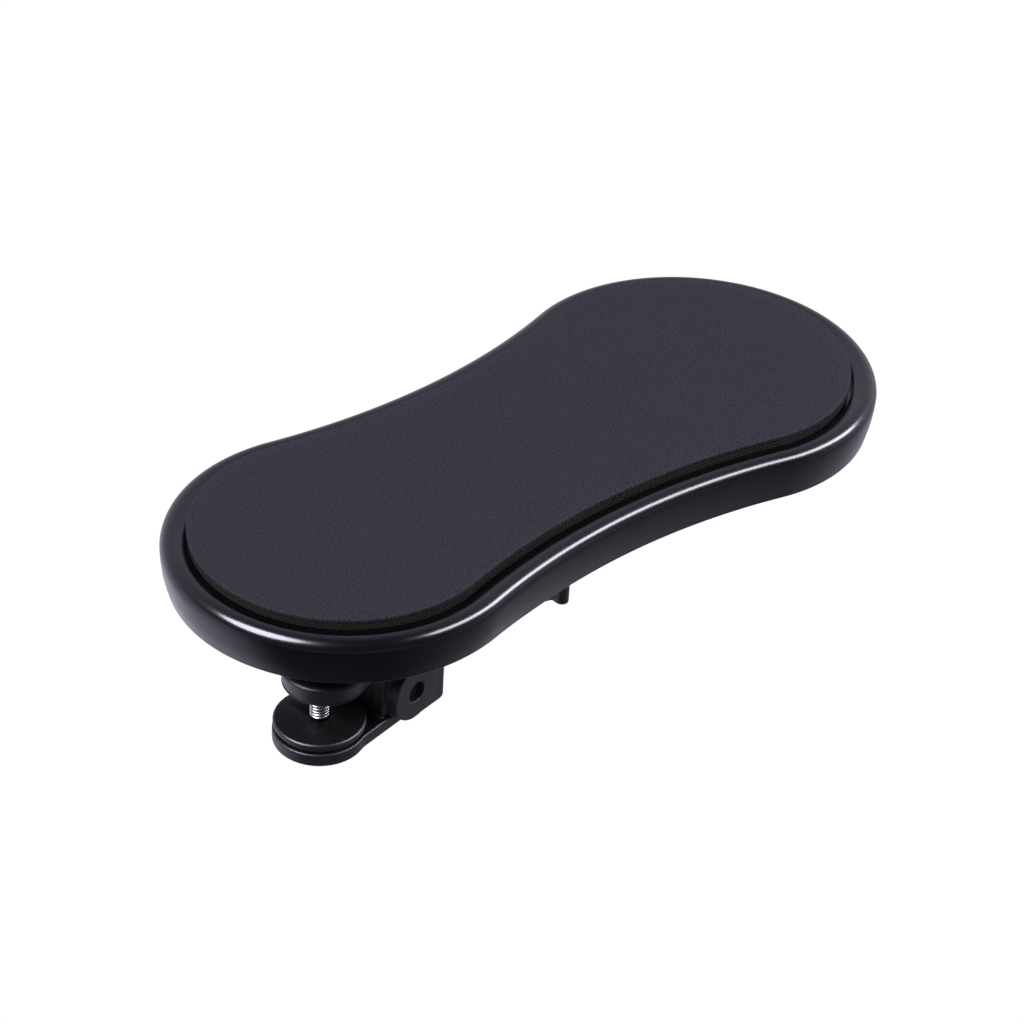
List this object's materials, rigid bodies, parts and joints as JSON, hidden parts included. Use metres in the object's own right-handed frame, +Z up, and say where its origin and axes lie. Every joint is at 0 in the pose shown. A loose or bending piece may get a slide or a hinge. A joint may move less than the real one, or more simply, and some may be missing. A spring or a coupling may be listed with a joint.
{
  "type": "chair armrest pad",
  "caption": "Waisted padded arm support on a swivelling arm with a screw clamp that grips a chair arm or a desk edge.",
  "frame": {"origin": "on the clamp screw's axis at the lower jaw's gripping face", "axes": "+X along the arm from the clamp to the tray's swivel, +Z up along the clamp screw, +Y across the arm"},
  "size_m": [0.2508, 0.1308, 0.0585],
  "materials": {
    "black_nylon": "satin black moulded nylon",
    "glossy_black": "glossy black moulded plastic",
    "leatherette": "fine pebbled charcoal leatherette with a violet tint",
    "woven_edge": "near-black woven fabric edge",
    "rubber": "matte black rubber",
    "bright_steel": "bright zinc-plated steel",
    "dark_steel": "black oxide steel",
    "brass": "plain turned brass"
  },
  "bodies": {
    "clamp": {"clamp_frame": "black_nylon", "thread_insert": "brass", "lower_jaw_pad": "rubber", "hinge_pin": "dark_steel", "fork_washer_left": "bright_steel", "fork_washer_right": "bright_steel"},
    "pressure_foot": {"pressure_disc": "black_nylon", "disc_facing": "rubber"},
    "screw": {"clamp_screw": "bright_steel", "screw_knob": "black_nylon", "knob_lock_nut": "bright_steel"},
    "arm": {"swing_arm": "black_nylon"},
    "tray": {"tray": "glossy_black", "swivel_plate": "dark_steel", "plate_screw_1": "bright_steel", "plate_screw_2": "bright_steel", "plate_screw_3": "bright_steel", "plate_screw_4": "bright_steel", "swivel_bolt": "bright_steel", "swivel_washer": "rubber", "pad_foam": "woven_edge", "pad_cover": "leatherette"},
    "knob_washer": {"knob_washer": "bright_steel"},
    "star_knob": {"star_knob": "black_nylon", "knob_insert": "brass"}
  },
  "joints": [
    {"name": "screw_travel", "type": "slide", "parent": "clamp", "child": "pressure_foot", "axis": [0, 0, 1], "range_m": [0, 0.0095]},
    {"name": "screw_spin", "type": "hinge", "parent": "pressure_foot", "child": "screw", "pos_m": [0, 0, 0.01], "axis": [0, 0, 1], "range_deg": [0, 3420]},
    {"name": "arm_tilt", "type": "hinge", "parent": "clamp", "child": "arm", "pos_m": [0.0245, 0, 0.0056], "axis": [0, 1, 0], "range_deg": [0, 90]},
    {"name": "tray_swivel", "type": "hinge", "parent": "arm", "child": "tray", "pos_m": [0.095, 0, 0.034], "axis": [0, 0, 1], "continuous": true},
    {"name": "knob_travel", "type": "slide", "parent": "tray", "child": "knob_washer", "axis": [0, 0, -1], "range_m": [0, 0.0025]},
    {"name": "knob_turn", "type": "hinge", "parent": "knob_washer", "child": "star_knob", "pos_m": [0.095, 0, 0.01], "axis": [0, 0, -1], "range_deg": [0, 720]}
  ],
  "couplings": [
    {"joint": "screw_travel", "follows": "screw_spin", "m_per_rad": 0.00015915},
    {"joint": "knob_travel", "follows": "knob_turn", "m_per_rad": 0.00019894}
  ]
}
